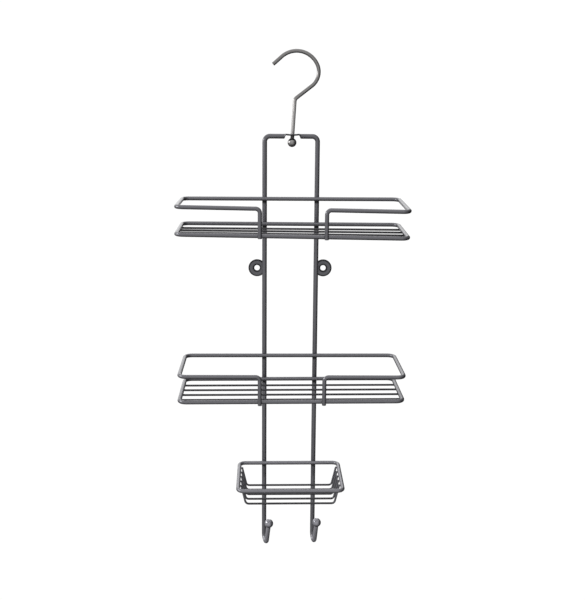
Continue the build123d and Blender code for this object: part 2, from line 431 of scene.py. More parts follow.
def pressed_wire_tree():
    """The frame wire, pressed flat in the middle of its top bar and pierced for the stem."""
    extra = [
        ("Bar Centre", "NodeSocketVector", (0.0, 0.0, 0.0)),
        ("Flat Length", "NodeSocketFloat", 14 * MM),
        ("Flat Width", "NodeSocketFloat", 12 * MM),
        ("Flat Thickness", "NodeSocketFloat", 1.6 * MM),
        ("Flat Dish", "NodeSocketFloat", 0.5 * MM),
        ("Crimp", "NodeSocketFloat", 2 * MM),
        ("Hole Radius", "NodeSocketFloat", 2 * MM),
        ("Hole Place", "NodeSocketVector", (0.0, 0.0, 0.0)),
        ("Hole Axis", "NodeSocketVector", (0.0, 0.0, 1.0)),
    ]
    net, given = new_geometry_tree("Pressed frame wire", WIRE_INPUTS + extra)
    wire = sweep_wire(net, given)
    radius = given.out("Wire Radius")
    half_thickness = given.out("Flat Thickness") * 0.5
    half_length = given.out("Flat Length") * 0.5
    place = net.add("GeometryNodeInputPosition")
    local = net.add(
        "ShaderNodeSeparateXYZ", {}, {0: net.vector("SUBTRACT", place, given.out("Bar Centre"))}
    )
    along, across, up = local, local.out("Y"), local.out("Z")
    reach = abs(along)
    pressed = 1 - net.ramp(reach, half_length, half_length + given.out("Crimp"))
    on_bar = net.ramp(up, radius * -3, radius * -2)
    share_pressed = pressed * on_bar
    flat_up = (up * FLAT_FLANK).at_most(half_thickness).at_least(half_thickness * -1)
    sag = given.out("Flat Dish") * (1 - (reach / half_length).at_most(1) ** 2)
    flat_up = flat_up + radius - half_thickness - sag
    flat_across = across * (given.out("Flat Width") * 0.5 / radius)
    offset = net.add(
        "ShaderNodeCombineXYZ", {},
        {"Y": (flat_across - across) * share_pressed, "Z": (flat_up - up) * share_pressed},
    )
    wire = net.add("GeometryNodeSetPosition", {}, {"Geometry": wire, "Offset": offset})
    drill = net.add(
        "GeometryNodeMeshCylinder", {},
        {"Vertices": DRILL_SIDES, "Radius": given.out("Hole Radius"), "Depth": radius * 6},
    )
    lean = turned_to(net, given.out("Hole Axis"))
    drill = net.add(
        "GeometryNodeTransform", {},
        {"Geometry": drill, "Translation": given.out("Hole Place"), "Rotation": lean},
    )
    pierced = net.add(
        "GeometryNodeMeshBoolean", {"operation": "DIFFERENCE", "solver": "EXACT"},
        {"Mesh 1": wire, "Mesh 2": drill},
    )
    return finish_tree(net, given, pierced)


NUGGET_SPREAD = 0.12
NUGGET_GRAIN = 900.0


def nugget_tree():
    """Weld nuggets: a lens of metal squeezed out where two wires cross, at each given point."""
    inputs = [
        ("Unevenness", "NodeSocketFloat", 0.15 * MM),
        ("Seed", "NodeSocketInt", 7),
        ("Material", "NodeSocketMaterial", None),
    ]
    net, given = new_geometry_tree("Weld nuggets", inputs)
    lens = net.add("GeometryNodeMeshIcoSphere", {}, {"Radius": 1.0, "Subdivisions": 3})
    lean = turned_to(net, kept_value(net, "FLOAT_VECTOR", "weld_normal"))
    spread = kept_value(net, "FLOAT_VECTOR", "weld_spread")
    chance = net.add(
        "FunctionNodeRandomValue", {"data_type": "FLOAT"},
        {"Min_001": 1 - NUGGET_SPREAD, "Max_001": 1 + NUGGET_SPREAD, "Seed": given.out("Seed")},
    ).out("Value_001")
    size = net.vector("SCALE", spread, chance)
    nuggets = net.add(
        "GeometryNodeInstanceOnPoints", {},
        {"Points": given.out("Geometry"), "Instance": lens, "Rotation": lean, "Scale": size},
    )
    real = net.add("GeometryNodeRealizeInstances", {}, {"Geometry": nuggets})
    place = net.add("GeometryNodeInputPosition")
    swell = (net.noise(place, NUGGET_GRAIN) - 0.5) * given.out("Unevenness")
    offset = net.vector("SCALE", net.add("GeometryNodeInputNormal"), swell)
    uneven = net.add("GeometryNodeSetPosition", {}, {"Geometry": real, "Offset": offset})
    return finish_tree(net, given, uneven)


TREES = {}


def tree(build):
    """The tree of a builder function, made once."""
    if build not in TREES:
        TREES[build] = build()
    return TREES[build]


# ---------------------------------------------------------------- paths and meshes

CUT_END_ANGLE = radians(55)
SHARP_ANGLE = radians(40)
RING_SHARP_ANGLE = radians(50)
JOIN_DISTANCE = 0.001 * MM


def path_mesh(name, points, bends, closed=False, pairs=None):
    """Corner points joined by edges; each carries the radius that the wire is bent to there."""
    last = len(points) - 1
    edges = pairs or [(i, i + 1) for i in range(last)]
    if closed:
        edges.append((last, 0))
    mesh = bpy.data.meshes.new(name)
    mesh.from_pydata(points, edges, [])
    mesh.attributes.new("bend", "FLOAT", "POINT").data.foreach_set("value", bends)
    return mesh


def arc(centre, first, second, radius, start, end, steps):
    """Points of an arc in the plane of two unit vectors, from one angle to another."""
    angles = [start + (end - start) * i / steps for i in range(steps + 1)]
    return [centre + (first * cos(a) + second * sin(a)) * radius for a in angles]


def lathe_mesh(name, outline, origin, axis, steps, closed):
    """Turn an outline of (radius, height) points about an axis."""
    lean = Vector((0, 0, 1)).rotation_difference(axis).to_matrix().to_4x4()
    shape = bmesh.new()
    points = [shape.verts.new((r, 0, h)) for r, h in outline]
    pairs = list(zip(points, points[1:]))
    if closed:
        pairs.append((points[-1], points[0]))
    edges = [shape.edges.new(pair) for pair in pairs]
    bmesh.ops.spin(
        shape, geom=points + edges, axis=(0, 0, 1), cent=(0, 0, 0), angle=tau, steps=steps,
        use_merge=True,
    )
    bmesh.ops.remove_doubles(shape, verts=shape.verts, dist=JOIN_DISTANCE)
    bmesh.ops.recalc_face_normals(shape, faces=shape.faces)
    bmesh.ops.transform(shape, matrix=Matrix.Translation(origin) @ lean, verts=shape.verts)
    for face in shape.faces:
        face.smooth = True
    mesh = bpy.data.meshes.new(name)
    shape.to_mesh(mesh)
    shape.free()
    return mesh


def new_object(name, mesh):
    """An object in the scene, at the origin."""
    piece = bpy.data.objects.new(name, mesh)
    bpy.context.scene.collection.objects.link(piece)
    return piece


def path_object(name, points, bends, **layout):
    """An object that holds the path of a wire."""
    return new_object(name, path_mesh(name, points, bends, **layout))


def run_tree(piece, build, **inputs):
    """Run a tree on a piece and keep its result as a plain mesh."""
    modifier = piece.modifiers.new("Shape", "NODES")
    modifier.node_group = tree(build)
    for socket in modifier.node_group.interface.items_tree:
        key = socket.name.lower().replace(" ", "_")
        if socket.in_out == "INPUT" and key in inputs:
            modifier[socket.identifier] = inputs[key]
    bevel = piece.modifiers.new("Ends", "BEVEL")
    bevel.width = sizes().end_round
    bevel.segments = 3
    bevel.limit_method = "ANGLE"
    bevel.angle_limit = CUT_END_ANGLE
    keep_result(piece)


def keep_result(piece):
    """Turn what the modifiers show into the piece's own plain mesh."""
    graph = bpy.context.evaluated_depsgraph_get()
    graph.update()
    mesh = bpy.data.meshes.new_from_object(piece.evaluated_get(graph), depsgraph=graph)
    piece.modifiers.clear()
    piece.data = mesh
    if not mesh.polygons:
        raise RuntimeError(f"{piece.name} came out empty")
    mesh.set_sharp_from_angle(angle=SHARP_ANGLE)


def place_piece(piece, body, nodes):
    """Give a finished piece its body and hide the CAD nodes that it stands for."""
    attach(piece, body)
    if nodes:
        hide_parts(*nodes)


def sizes():
    """The sizes as they are set now."""
    return bpy.context.scene.caddy_sizes


def finish():
    """The colours and roughnesses as they are set now."""
    return bpy.context.scene.caddy_finish


# ---------------------------------------------------------------- materials

MATERIALS = {}


def material(build):
    """The material of a builder function, made once."""
    if build not in MATERIALS:
        made = bpy.data.materials.new(build.__name__.replace("_", " "))
        made.use_nodes = True
        made.node_tree.nodes.clear()
        net = Net(made.node_tree)
        surface = build(net)
        net.add("ShaderNodeOutputMaterial", {}, {"Surface": surface})
        MATERIALS[build] = made
    return MATERIALS[build]


def bump(net, height, distance, strength):
    """A normal from a height in 0 to 1."""
    return net.add(
        "ShaderNodeBump", {}, {"Height": height, "Distance": distance, "Strength": strength}
    )


PAINTED_FLAKE_GLINT = (0.28, 0.28, 0.30)  # painted glint: the colour of a flake painted as if it catches the light
SHADE = (0.02, 0.02, 0.021)  # the colour of painted shade
FLAKE_SCALE = 5200.0
GRAIN_SCALE = 1400.0
PEEL_SCALE = 620.0
CLOUD_SCALE = 45.0
COAT_METAL = 0.75
COAT_GLOSS = 0.25
THIN_COAT_METAL = 0.7
BALL_METAL = 0.85
BALL_GLOSS = 0.5
# painted shade on the frame's pressed flat
FLAT_PAINTED_SHADE = 0.8
# painted shadow on the frame just below each weld
WELD_PAINTED_SHADOW = 0.95
HOLE_PAINTED_SHADE = 0.85  # painted shade on the stem, from the ball up into the flat
# painted light on the lower hooks' arms
ARM_PAINTED_LIGHT = 3.0
# painted light: the basket's coat lighter than the frame's, the dish's lighter still
BASKET_PAINTED_LIGHT = 1.14
DISH_PAINTED_LIGHT = 1.55
# painted light on the lower balls
BALL_PAINTED_LIGHT = 2.4
BALL_DEEP_PAINTED_LIGHT = 1.9
# painted light on the hook's stem, painted shade on its loop
STEM_PAINTED_LIGHT = 1.60
LOOP_PAINTED_SHADE = 0.80
LOOP_DEEP_PAINTED_SHADE = 0.72
RING_TONE = 0.85
# painted shade in a band along the rings' outer edge and round their holes
RING_EDGE_PAINTED_SHADE = 0.85
RING_HOLE_PAINTED_SHADE = 0.75
RING_EDGE_BAND = (7.9 * MM, 9.0 * MM)
RING_HOLE_BAND = (4.3 * MM, 5.6 * MM)
LACQUER_ROUGHNESS = 0.25
SHADE_ROUGHNESS = 0.45
PEEL_DEPTH = 0.05 * MM
STAIN_SCALE = 120.0
DRAW_LINE_DEPTH = 0.02 * MM
DRAW_LINE_SCALE = 2600.0
DRAW_LINE_STRETCH = 0.02  # length of the draw lines' pattern, over that round the wire


def object_place(net):
    """Object coordinates."""
    return net.add("ShaderNodeTexCoord").out("Object")


def object_axes(net):
    """Object coordinates, taken apart."""
    return net.add("ShaderNodeSeparateXYZ", {}, {0: object_place(net)})


def coated(net, light, deep, metallic, roughness, gloss, dark=0.0):
    """Sprayed metallic grey coat: fine flakes with a painted glint, slow tone changes and a faint orange peel;
    dark blends in painted shade.
    """
    place = object_place(net)
    cloud = net.noise(place, CLOUD_SCALE, 3.0)
    grain = net.noise(place, GRAIN_SCALE, 2.0, 0.6)
    flakes = net.add(
        "ShaderNodeTexVoronoi", {"feature": "F1"}, {"Vector": place, "Scale": FLAKE_SCALE}
    ).out("Color")
    painted_glint_flakes = net.ramp(net.add("ShaderNodeSeparateColor", {}, {0: flakes}), 0.62, 0.95)
    tone = (cloud - 0.5) * 0.6 + (grain - 0.5) * 0.15 + 0.6
    base = net.blend(tone.at_least(0.0).at_most(1.0), deep, light)
    # painted glint on the flakes
    base = net.blend(painted_glint_flakes * 0.08, base, tinted(PAINTED_FLAKE_GLINT))
    # painted shade where dark is 1
    base = net.blend(dark, base, tinted(SHADE))
    peel = net.noise(place, PEEL_SCALE, 2.0) * 0.75 + grain * 0.25
    rough = roughness + (cloud - 0.5) * 0.10 + (grain - 0.5) * 0.06 - painted_glint_flakes * 0.02
    rough = rough + dark * SHADE_ROUGHNESS
    return net.add(
        "ShaderNodeBsdfPrincipled", {},
        {
            "Base Color": base,
            "Metallic": metallic,
            "Roughness": rough,
            "Coat Weight": (1 - dark) * gloss,
            "Coat Roughness": LACQUER_ROUGHNESS,
            "Normal": bump(net, peel, PEEL_DEPTH, 0.05),
        },
    )


def coat_tones(net, lit, plain, bright):
    """The grey coat's light and deep tones: times plain, and times bright where lit is 1; both factors are painted
    light.
    """
    look = finish()
    return [
        net.blend(lit, tinted(tone, plain), tinted(tone, bright))
        for tone in (look.coat, look.coat_deep)
    ]


def grey_frame_coat(net):
    """The frame's coat, with painted shade at the flat, painted shadow just below each weld and painted light on
    the arms.
    """
    size = sizes()
    place = object_axes(net)
    reach = abs(place - size.flat_shift)
    near = size.flat_length / 2 + 0.3 * size.crimp
    pressed = 1 - net.ramp(reach, near - 1 * MM, near + 1 * MM)
    on_bar = net.ramp(place.out("Z"), SWIVEL_FOOT.z, SWIVEL_FOOT.z + 1 * MM)
    # painted shade on the pressed flat
    dark = pressed * on_bar * FLAT_PAINTED_SHADE
    # painted shadow just below each run that crosses the frame
    runs = [z for level in LEVELS for z in (shelf(level).z, shelf(level).rail_z)]
    for z in (*runs, rim_run("soap_dish_rim").z):
        under = z - size.basket_wire / 2 - place.out("Z")
        shaded = (1 - net.ramp(under, 1.5 * MM, 4.5 * MM)) * net.ramp(under, -2 * MM, -0.5 * MM)
        dark = (dark + shaded * WELD_PAINTED_SHADOW).at_most(1.0)
    # painted light on the lower hooks' arms
    foot = frame_lines().foot
    arm = net.ramp(SWIVEL_FOOT.y - place.out("Y"), 3 * MM, 8 * MM)
    arm = arm * (1 - net.ramp(place.out("Z"), foot + 20 * MM, foot + 30 * MM))
    light, deep = coat_tones(net, arm, 1.0, ARM_PAINTED_LIGHT)
    return coated(net, light, deep, COAT_METAL, finish().coat_roughness, COAT_GLOSS, dark)


def grey_basket_coat(net):
    """The rims' and rails' coat, with painted light: lighter than the frame's, and lighter still on the soap dish.
    """
    dish_z = rim_run("soap_dish_rim").z
    # painted light on the soap dish
    dish = 1 - net.ramp(object_axes(net).out("Z"), dish_z + 30 * MM, dish_z + 60 * MM)
    light, deep = coat_tones(net, dish, BASKET_PAINTED_LIGHT, DISH_PAINTED_LIGHT)
    return coated(net, light, deep, COAT_METAL, finish().coat_roughness, COAT_GLOSS)


def grey_floor_wire_coat(net):
    """The thin wires' coat, with painted light where the dish's wires turn up."""
    look = finish()
    size = sizes()
    place = object_axes(net)
    foot = size.dish_floor / 2
    dish_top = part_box("soap_dish_rim")[1].z
    # painted light where the dish's wires turn up
    aside = net.ramp(abs(place), foot - 3 * MM, foot + 2 * MM)
    turned_up_painted_light = aside * (1 - net.ramp(place.out("Z"), dish_top, dish_top + 10 * MM))
    light = net.blend(turned_up_painted_light, tinted(look.thin_coat), tinted(look.coat))
    deep = net.blend(turned_up_painted_light, tinted(look.thin_coat, 0.7), tinted(look.coat_deep))
    return coated(net, light, deep, THIN_COAT_METAL, look.coat_roughness + 0.06, 0.15)


def grey_ring_coat(net):
    """The rings' coat, with painted shade in a band along the outer edge and round the hole."""
    look = finish()
    place = object_axes(net)
    beside = abs(place) - BOLTS["dims"]["spacing_x_mm"] * MM / 2
    radius = (beside * beside + place.out("Z") * place.out("Z")) ** 0.5
    # painted shade along the outer edge and round the hole
    outer = net.ramp(radius, *RING_EDGE_BAND)
    inner = 1 - net.ramp(radius, *RING_HOLE_BAND)
    dark = (outer * RING_EDGE_PAINTED_SHADE + inner * RING_HOLE_PAINTED_SHADE).at_most(1.0)
    light, deep = tinted(look.coat, RING_TONE), tinted(look.coat_deep)
    roughness = look.coat_roughness + 0.04
    return coated(net, light, deep, THIN_COAT_METAL, roughness, 0.2, dark)


def glossy_ball_coat(net):
    """The lower balls' coat: glossier than the frame's, and lighter as painted light."""
    look = finish()
    light, deep = tinted(look.coat, BALL_PAINTED_LIGHT), tinted(look.coat, BALL_DEEP_PAINTED_LIGHT)
    return coated(net, light, deep, BALL_METAL, look.coat_roughness * 0.6, BALL_GLOSS)


def plated(net, place, stretch, light, deep, roughness, dark=0.0):
    """Thin bright plating with fine draw lines and a few dull patches; dark blends in painted shade."""
    lines = net.noise(net.vector("MULTIPLY", place, stretch), 1.0, 3.0, 0.6)
    stains = net.noise(object_place(net), STAIN_SCALE, 3.0)
    dull = net.ramp(stains, 0.52, 0.75)
    tone = (net.ramp(lines, 0.30, 0.70) * 0.8 + 0.2) * (1 - dull * 0.35)
    base = net.blend(tone, deep, light)
    # painted shade where dark is 1
    base = net.blend(dark, base, tinted(SHADE))
    rough = roughness + (lines - 0.5) * 0.06 + dull * 0.06
    return net.add(
        "ShaderNodeBsdfPrincipled", {},
        {
            "Base Color": base,
            "Metallic": 1.0,
            "Roughness": rough,
            "Normal": bump(net, lines, DRAW_LINE_DEPTH, 0.06),
        },
    )


def plated_hook_wire(net):
    """The hook's plating: duller on the stem, with painted light on the stem, painted shade on the loop, and
    painted shade on the stem from the ball up into the flat.
    """
    look = finish()
    side = net.add("ShaderNodeAttribute", {"attribute_name": "wire_side"}).out("Vector")
    run = net.add("ShaderNodeAttribute", {"attribute_name": "wire_run"}).out("Fac")
    spread = net.add("ShaderNodeSeparateXYZ", {}, {0: side})
    place = net.add(
        "ShaderNodeCombineXYZ", {},
        {"X": spread, "Y": spread.out("Y"), "Z": run * DRAW_LINE_STRETCH},
    )
    stretch = (DRAW_LINE_SCALE,) * 3
    # painted shade on the stem from the ball up into the flat
    top = frame_lines().top + 1 * MM
    above = net.ramp(object_axes(net).out("Z"), top - 1 * MM, top + 1 * MM)
    dark = HOLE_PAINTED_SHADE - above * HOLE_PAINTED_SHADE
    # painted light on the stem, painted shade on the loop
    bend = SWIVEL_FOOT.z + sizes().stem_length
    stem = 1 - net.ramp(object_axes(net).out("Z"), bend - 3 * MM, bend + 6 * MM)
    light, deep = (
        net.blend(stem, tinted(tone, loop), tinted(tone, STEM_PAINTED_LIGHT))
        for tone, loop in ((look.plate, LOOP_PAINTED_SHADE), (look.plate_deep, LOOP_DEEP_PAINTED_SHADE))
    )
    roughness = look.plate_roughness + stem * 0.30 - 0.04
    return plated(net, place, stretch, light, deep, roughness, dark)


def plated_hook_ball(net):
    """The foot ball's plating, with its fine lines running round it."""
    look = finish()
    place = object_place(net)
    stretch = (400.0, 400.0, 1600.0)
    light, deep = tinted(look.plate), tinted(look.plate_deep)
    return plated(net, place, stretch, light, deep, look.plate_roughness * 0.8)


# ---------------------------------------------------------------- pieces

def thick_wire(piece, build, **inputs):
    """A thick wire swept along the piece's path."""
    size = sizes()
    run_tree(piece, build, sides=size.wire_sides, bend_steps=size.bend_steps, **inputs)


def basket_wire(name, node, points, bends, **layout):
    """A rim or rail in place of its CAD node."""
    piece = path_object(name, points, bends, **layout)
    thick_wire(
        piece, bent_wire_tree, wire_radius=sizes().basket_wire / 2,
        material=material(grey_basket_coat),
    )
    place_piece(piece, RACK, [node])


def thin_wires(piece, build, nodes, **inputs):
    """Thin wires along the piece's path, in place of their CAD nodes."""
    size = sizes()
    run_tree(
        piece, build, wire_radius=size.floor_wire / 2, sides=size.thin_sides,
        bend_steps=size.bend_steps, material=material(grey_floor_wire_coat), **inputs,
    )
    place_piece(piece, RACK, nodes)


def frame_lines():
    """Centre lines of the frame wire."""
    size = sizes()
    low, high, _ = middle("main_frame")
    radius = size.frame_wire / 2
    return SimpleNamespace(
        radius=radius, half=-low.x - radius, y=SWIVEL_FOOT.y, top=high.z - radius,
        foot=low.z + radius + size.foot_bend,
    )


def lower_hook(name):
    """Level direction from an upright to its hook's arm, and the direction of the arm itself."""
    size = sizes()
    turned = getattr(size, f"{name}_turn")
    reach = Vector((sin(turned), -cos(turned), 0))
    return reach, reach * sin(size.foot_lean) + Vector((0, 0, cos(size.foot_lean)))


FOOT_BEND_STEPS = 24
FLAT_STEPS = 60


class CADDY_OT_main_frame(bpy.types.Operator):
    """Bend the frame wire with its lower hooks, and press and pierce its flat"""

    bl_idname = "caddy.main_frame"
    bl_label = "Main frame"

    def execute(self, context):
        size = sizes()
        lines = frame_lines()

        def foot_points(side, name, rise):
            reach, arm = lower_hook(name)
            foot = Vector((side * lines.half, lines.y, lines.foot + rise))
            bend = arc(
                foot + reach * size.foot_bend, reach, Vector((0, 0, 1)), size.foot_bend,
                -size.foot_lean, -pi, FOOT_BEND_STEPS,
            )
            return [bend[0] + arm * size.foot_arm] + bend

        left = foot_points(-1, "left", 0.0)
        right = foot_points(1, "right", size.right_foot_rise)[::-1]
        corner = Vector((lines.half, lines.y, lines.top))
        pressed_half = size.flat_length / 2 + size.crimp
        bar = [
            Vector((size.flat_shift + pressed_half * (2 * i / FLAT_STEPS - 1), lines.y, lines.top))
            for i in range(FLAT_STEPS + 1)
        ]
        points = left + [Vector((-corner.x, corner.y, corner.z))] + bar + [corner] + right
        bends = (
            [0.0] * len(left) + [size.frame_corner] + [0.0] * len(bar)
            + [size.frame_corner] + [0.0] * len(right)
        )
        piece = path_object("frame_wire", points, bends)
        climb = (lines.top - SWIVEL_FOOT.z) / SWIVEL_AXIS.z
        thick_wire(
            piece, pressed_wire_tree, wire_radius=lines.radius,
            bar_centre=(size.flat_shift, lines.y, lines.top),
            flat_length=size.flat_length, flat_width=size.flat_width,
            flat_thickness=size.flat_thickness, flat_dish=size.flat_dish, crimp=size.crimp,
            hole_radius=size.swivel_hole, hole_place=tuple(SWIVEL_FOOT + SWIVEL_AXIS * climb),
            hole_axis=tuple(SWIVEL_AXIS),
            material=material(grey_frame_coat),
        )
        place_piece(piece, RACK, ["main_frame"])
        return {"FINISHED"}


HOOK_ARC_STEP = radians(2.5)


def hook_points():
    """Points along the hook's centre line: straights and bends, each going on from the last."""
    size = sizes()
    side = Vector((0, 1, 0)).cross(SWIVEL_AXIS).normalized()
    runs = (
        (0.0, size.stem_length),
        (size.stem_bend, -size.stem_turn),
        (0.0, size.neck_length),
        (size.near_radius, size.near_arc),
        (size.far_radius, size.far_arc),
        (0.0, size.mouth_run),
    )
    points, heading = [SWIVEL_FOOT], pi / 2
    for radius, amount in runs:
        if radius:
            outwards = heading - pi / 2 if amount > 0 else heading + pi / 2
            centre = points[-1] - (side * cos(outwards) + SWIVEL_AXIS * sin(outwards)) * radius
            steps = max(8, round(abs(amount) / HOOK_ARC_STEP))
            points += arc(
                centre, side, SWIVEL_AXIS, radius, outwards, outwards + amount, steps
            )[1:]
            heading += amount
        else:
            ahead = side * cos(heading) + SWIVEL_AXIS * sin(heading)
            points.append(points[-1] + ahead * amount)
    return points


class CADDY_OT_swivel_hook(bpy.types.Operator):
    """Bend the swivel hook and turn the ball on its foot"""

    bl_idname = "caddy.swivel_hook"
    bl_label = "Swivel hook"

    def execute(self, context):
        radius = sizes().hook_wire / 2
        points = hook_points()
        piece = path_object("hook_wire", points, [0.0] * len(points))
        thick_wire(
            piece, bent_wire_tree, wire_radius=radius, material=material(plated_hook_wire)
        )
        place_piece(piece, HOOK, ["top_hook"])

        low, high, _ = middle("top_hook_ball")
        ball_radius = (high.x - low.x) / 2
        ball = ball_mesh("hook_foot_ball", SWIVEL_FOOT, SWIVEL_AXIS, ball_radius, radius)
        ball.materials.append(material(plated_hook_ball))
        piece = new_object("hook_foot_ball", ball)
        place_piece(piece, HOOK, ["top_hook_ball"])
        return {"FINISHED"}


BALL_LIP = 0.12 * MM
BALL_STEPS = 28
BALL_SIDES = 48


def ball_mesh(name, centre, axis, radius, bore):
    """A ball with a rounded lip where a wire goes into it along +axis."""
    lip = BALL_LIP
    mouth = (bore + lip) / radius
    edge = (1 - mouth * mouth) ** 0.5
    reach = pi / 2 - mouth
    outline = [
        (radius * cos(a), radius * sin(a))
        for a in [-pi / 2 + (reach + pi / 2) * i / BALL_STEPS for i in range(BALL_STEPS + 1)]
    ]
    outline[0] = (0.0, -radius)
    outline += [
        (bore + lip * 0.3, radius * edge - lip * 0.3),
        (bore, radius * edge - lip * 1.2),
        (bore, 0.0),
        (0.0, 0.0),
    ]
    return lathe_mesh(name, outline, centre, axis, BALL_SIDES, False)


class CADDY_OT_lower_balls(bpy.types.Operator):
    """Turn the balls on the tips of the two lower hooks"""

    bl_idname = "caddy.lower_balls"
    bl_label = "Lower hook balls"

    def execute(self, context):
        for _, name in SIDES:
            node = f"{name}_hook_ball"
            low, high, centre = middle(node)
            radius = (high.y - low.y) / 2
            centre.z = high.z - radius
            mesh = ball_mesh(
                f"{name}_tip_ball", centre, -lower_hook(name)[1], radius, sizes().frame_wire / 2
            )
            mesh.materials.append(material(glossy_ball_coat))
            piece = new_object(f"{name}_tip_ball", mesh)
            place_piece(piece, RACK, [node])
        return {"FINISHED"}


RING_SOFT_EDGE = 0.3 * MM
RING_SIDES = 64


class CADDY_OT_mounting_rings(bpy.types.Operator):
    """Turn the two mounting rings with their countersunk holes"""

    bl_idname = "caddy.mounting_rings"
    bl_label = "Mounting rings"

    def execute(self, context):
        size = sizes()
        hole = BOLTS["dims"]["hole_r_mm"] * MM
        sink = size.countersink / 2
        edge = size.ring_edge
        soft = RING_SOFT_EDGE
        for _, name in SIDES:
            node = f"{name}_mounting_ring"
            low, high, centre = middle(node)
            outer = (high.x - low.x) / 2
            depth = high.y - low.y
            rim_arc = [
                (outer - edge + edge * cos(a), depth - edge + edge * sin(a))
                for a in [pi / 2 * i / 8 for i in range(9)]
            ]
            back_arc = [
                (outer - soft + soft * cos(a), soft - soft * sin(a))
                for a in [pi / 2 * i / 4 for i in range(4, -1, -1)]
            ]
            outline = back_arc + rim_arc + [
                (sink + soft, depth),
                (sink, depth - soft * 0.4),
                (hole + soft * 0.4, depth - (sink - hole) + soft * 0.2),
                (hole, depth - (sink - hole) - soft),
                (hole, soft),
                (hole + soft, 0.0),
            ]
            back = Vector((centre.x, high.y, centre.z))
            mesh = lathe_mesh(
                f"{name}_ring", outline, back, Vector((0, -1, 0)), RING_SIDES, True
            )
            mesh.set_sharp_from_angle(angle=RING_SHARP_ANGLE)
            mesh.materials.append(material(grey_ring_coat))
            piece = new_object(f"{name}_ring", mesh)
            place_piece(piece, RACK, [node])
        return {"FINISHED"}


def shelf(level):
    """Centre lines of a shelf's rim and rail, and how far their corners are bent up."""
    size = sizes()
    radius = size.basket_wire / 2
    low, high, _ = middle("lower_shelf_rim")
    rail_low, _, _ = middle("lower_shelf_rail")
    upper = level == "upper"
    z = low.z + radius + (size.shelf_pitch if upper else 0.0)
    return SimpleNamespace(
        radius=radius, half=high.x - radius, rear=high.y - radius, front=low.y + radius, z=z,
        rail_z=z + size.rail_height, rail_front=rail_low.y + radius,
        post_end=z - (size.upper_overhang if upper else size.lower_overhang),
        rim=getattr(size, f"{level}_rim_rises"), rail=getattr(size, f"{level}_rail_rises"),
    )


def lifted(run, rises, x, y, z):
    """A point of a level shelf, moved up to where its bent corners take it."""
    across = (x / run.half + 1) / 2
    forwards = (run.rear - y) / (run.rear - run.front)
    rear = rises[0] + (rises[1] - rises[0]) * across
    front = rises[2] + (rises[3] - rises[2]) * across
    return Vector((x, y, z + rear + (front - rear) * forwards))


def corners(run):
    """The corners of a loop seen from above: rear left, rear right, front right, front left."""
    left, right = -run.half, run.half
    return [(left, run.rear), (right, run.rear), (right, run.front), (left, run.front)]


class CADDY_OT_shelf_rims(bpy.types.Operator):
    """Bend the closed rims of the two shelves"""

    bl_idname = "caddy.shelf_rims"
    bl_label = "Shelf rims"

    def execute(self, context):
        for level in LEVELS:
            run = shelf(level)
            points = [lifted(run, run.rim, x, y, run.z) for x, y in corners(run)]
            bends = [sizes().shelf_corner] * len(points)
            basket_wire(f"{level}_rim", f"{level}_shelf_rim", points, bends, closed=True)
        return {"FINISHED"}


class CADDY_OT_shelf_rails(bpy.types.Operator):
    """Bend the guard rails, whose ends turn down as the front posts"""

    bl_idname = "caddy.shelf_rails"
    bl_label = "Shelf rails"

    def execute(self, context):
        size = sizes()
        posts = [size.post_shift + side * size.post_spacing / 2 for side, _ in SIDES]
        for level in LEVELS:
            run = shelf(level)
            front = run.rail_front
            left = size.rail_inset - run.half
            ends = [lifted(run, run.rim, post, run.front, run.post_end).z for post in posts]
            points = [
                (posts[0], front, ends[0]),
                lifted(run, run.rail, posts[0], front, run.rail_z),
                lifted(run, run.rail, left, front, run.rail_z),
                lifted(run, run.rail, left, run.rear, run.rail_z),
                lifted(run, run.rail, run.half, run.rear, run.rail_z),
                lifted(run, run.rail, run.half, front, run.rail_z),
                lifted(run, run.rail, posts[1], front, run.rail_z),
                (posts[1], front, ends[1]),
            ]
            corner, bend = size.shelf_corner, size.post_bend
            bends = [0.0, bend, corner, corner, corner, corner, bend, 0.0]
            basket_wire(f"{level}_rail", f"{level}_shelf_rail", points, bends)
        return {"FINISHED"}


def numbered(stem):
    """The CAD nodes stem_1, stem_2 and so on."""
    return sorted(n for n in frame["nodes"] if n.startswith(stem + "_"))


class CADDY_OT_floor_wires(bpy.types.Operator):
    """Lay the thin floor wires under the shelf rims"""

    bl_idname = "caddy.floor_wires"
    bl_label = "Floor wires"

    def execute(self, context):
        size = sizes()
        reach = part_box("lower_shelf_wire_1")[1].x
        sink = (size.basket_wire + size.floor_wire) / 2 - size.weld_sink
        for level in LEVELS:
            run = shelf(level)
            nodes = numbered(f"{level}_shelf_wire")
            points = [
                lifted(run, run.rim, side * reach, middle(node)[2].y, run.z - sink)
                for node in nodes for side, _ in SIDES
            ]
            pairs = [(i, i + 1) for i in range(0, len(points), 2)]
            bends = [0.0] * len(points)
            piece = path_object(f"{level}_floor_wires", points, bends, pairs=pairs)
            thin_wires(piece, bent_wire_tree, nodes)
        return {"FINISHED"}


